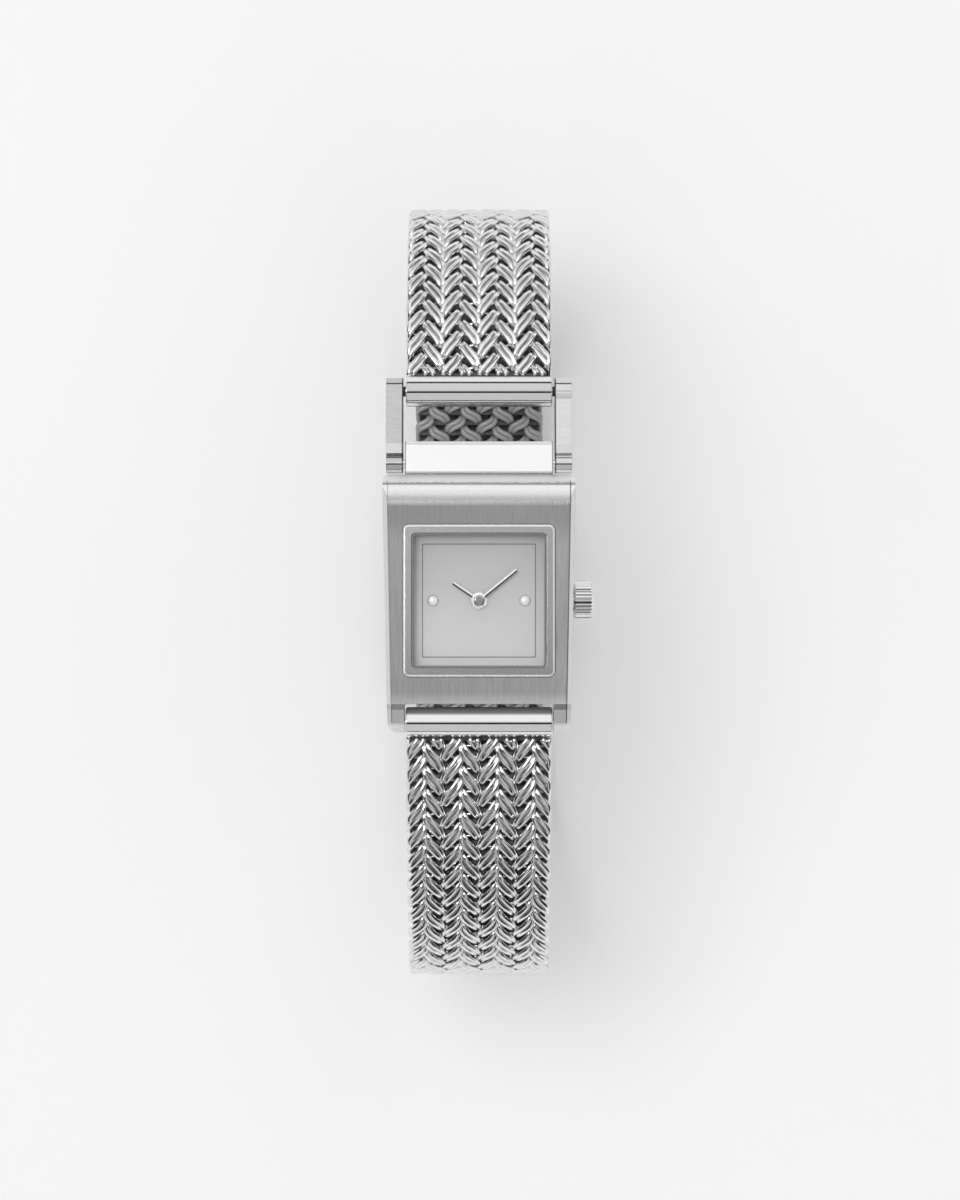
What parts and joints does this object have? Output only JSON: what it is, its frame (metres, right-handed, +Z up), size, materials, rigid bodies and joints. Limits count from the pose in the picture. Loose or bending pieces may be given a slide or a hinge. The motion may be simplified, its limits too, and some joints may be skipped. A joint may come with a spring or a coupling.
{
  "type": "wristwatch",
  "caption": "Small square-faced steel wristwatch with a crown, a hinged end frame and a closed loop of herringbone wire mesh.",
  "frame": {"origin": "centre of the buckle sleeve's flat underside, on which the closed loop rests, straight below the dial centre", "axes": "+Z up, out of the dial; +Y towards twelve o'clock; +X towards the crown"},
  "size_m": [0.0202, 0.0775, 0.0509],
  "materials": {
    "case_steel": "vertical brushing with polished bevels",
    "polished_steel": "polished stainless steel",
    "mesh_steel": "woven polished wire",
    "crystal_glass": "clear mineral crystal",
    "dial_silver": "matt silver lacquer",
    "gasket_rubber": "black gasket rubber",
    "white_gasket": "white gasket plastic",
    "holder_plastic": "moulded plastic",
    "brass": "machined brass",
    "cell_steel": "pressed steel can",
    "coil_copper": "enamelled copper wire",
    "board_green": "circuit board",
    "hand_steel": "diamond-cut polished"
  },
  "bodies": {
    "case": {"case_body": "case_steel", "case_back": "case_steel", "back_gasket": "gasket_rubber", "back_screws": "polished_steel", "crystal": "crystal_glass", "crystal_gasket": "white_gasket", "dial_ring": "polished_steel", "dial": "dial_silver", "dial_dots": "polished_steel", "movement_holder": "holder_plastic", "movement_plate": "brass", "battery": "cell_steel", "coil_core": "cell_steel", "coil_winding": "coil_copper", "circuit_board": "board_green", "quartz_can": "cell_steel", "crown_tube": "polished_steel", "spring_bar": "polished_steel"},
    "minute_group": {"cannon_pinion": "brass", "minute_hand": "hand_steel", "hand_cap": "hand_steel"},
    "minute_wheel": {"minute_wheel": "brass"},
    "hour_group": {"hour_wheel": "brass", "hour_hand": "hand_steel"},
    "stem_slide": {"setting_lever": "cell_steel"},
    "crown": {"stem": "cell_steel", "crown": "case_steel", "crown_gasket": "gasket_rubber"},
    "hinged_frame": {"left_arm": "polished_steel", "right_arm": "polished_steel", "hinge_pin": "polished_steel"},
    "band": {"lower_tube": "polished_steel", "lower_mesh": "mesh_steel", "tail_tip": "polished_steel", "upper_tube": "polished_steel", "cross_pin": "polished_steel", "upper_mesh": "mesh_steel", "end_clip": "polished_steel", "slider_sleeve": "polished_steel", "slider_bar": "polished_steel", "lever_pin": "polished_steel"},
    "lock_lever": {"lock_lever": "polished_steel"}
  },
  "joints": [
    {"name": "minute_hand_turn", "type": "hinge", "parent": "case", "child": "minute_group", "pos_m": [0, 0, 0.0492], "axis": [0, 0, -1], "continuous": true},
    {"name": "minute_wheel_turn", "type": "hinge", "parent": "case", "child": "minute_wheel", "pos_m": [0, -0.0024, 0.04885], "axis": [0, 0, -1], "continuous": true},
    {"name": "hour_hand_turn", "type": "hinge", "parent": "case", "child": "hour_group", "pos_m": [0, 0, 0.0492], "axis": [0, 0, -1], "continuous": true},
    {"name": "crown_pull", "type": "slide", "parent": "case", "child": "stem_slide", "axis": [1, 0, 0], "range_m": [0, 0.0008]},
    {"name": "crown_turn", "type": "hinge", "parent": "stem_slide", "child": "crown", "pos_m": [0.009, 0, 0.0476], "axis": [-1, 0, 0], "continuous": true},
    {"name": "frame_swing", "type": "hinge", "parent": "case", "child": "hinged_frame", "pos_m": [0, 0.0131, 0.04905], "axis": [1, 0, 0], "range_deg": [0, 95]},
    {"name": "band_swing", "type": "hinge", "parent": "case", "child": "band", "pos_m": [0, -0.01163, 0.04865], "axis": [1, 0, 0], "range_deg": [-60, 0]},
    {"name": "lever_swing", "type": "hinge", "parent": "band", "child": "lock_lever", "pos_m": [0, -0.002, 0.00055], "axis": [1, 0, 0], "range_deg": [0, 80]}
  ],
  "couplings": [
    {"joint": "minute_hand_turn", "follows": "crown_turn", "ratio": 1},
    {"joint": "minute_wheel_turn", "follows": "crown_turn", "ratio": -0.33333},
    {"joint": "hour_hand_turn", "follows": "crown_turn", "ratio": 0.083333}
  ]
}
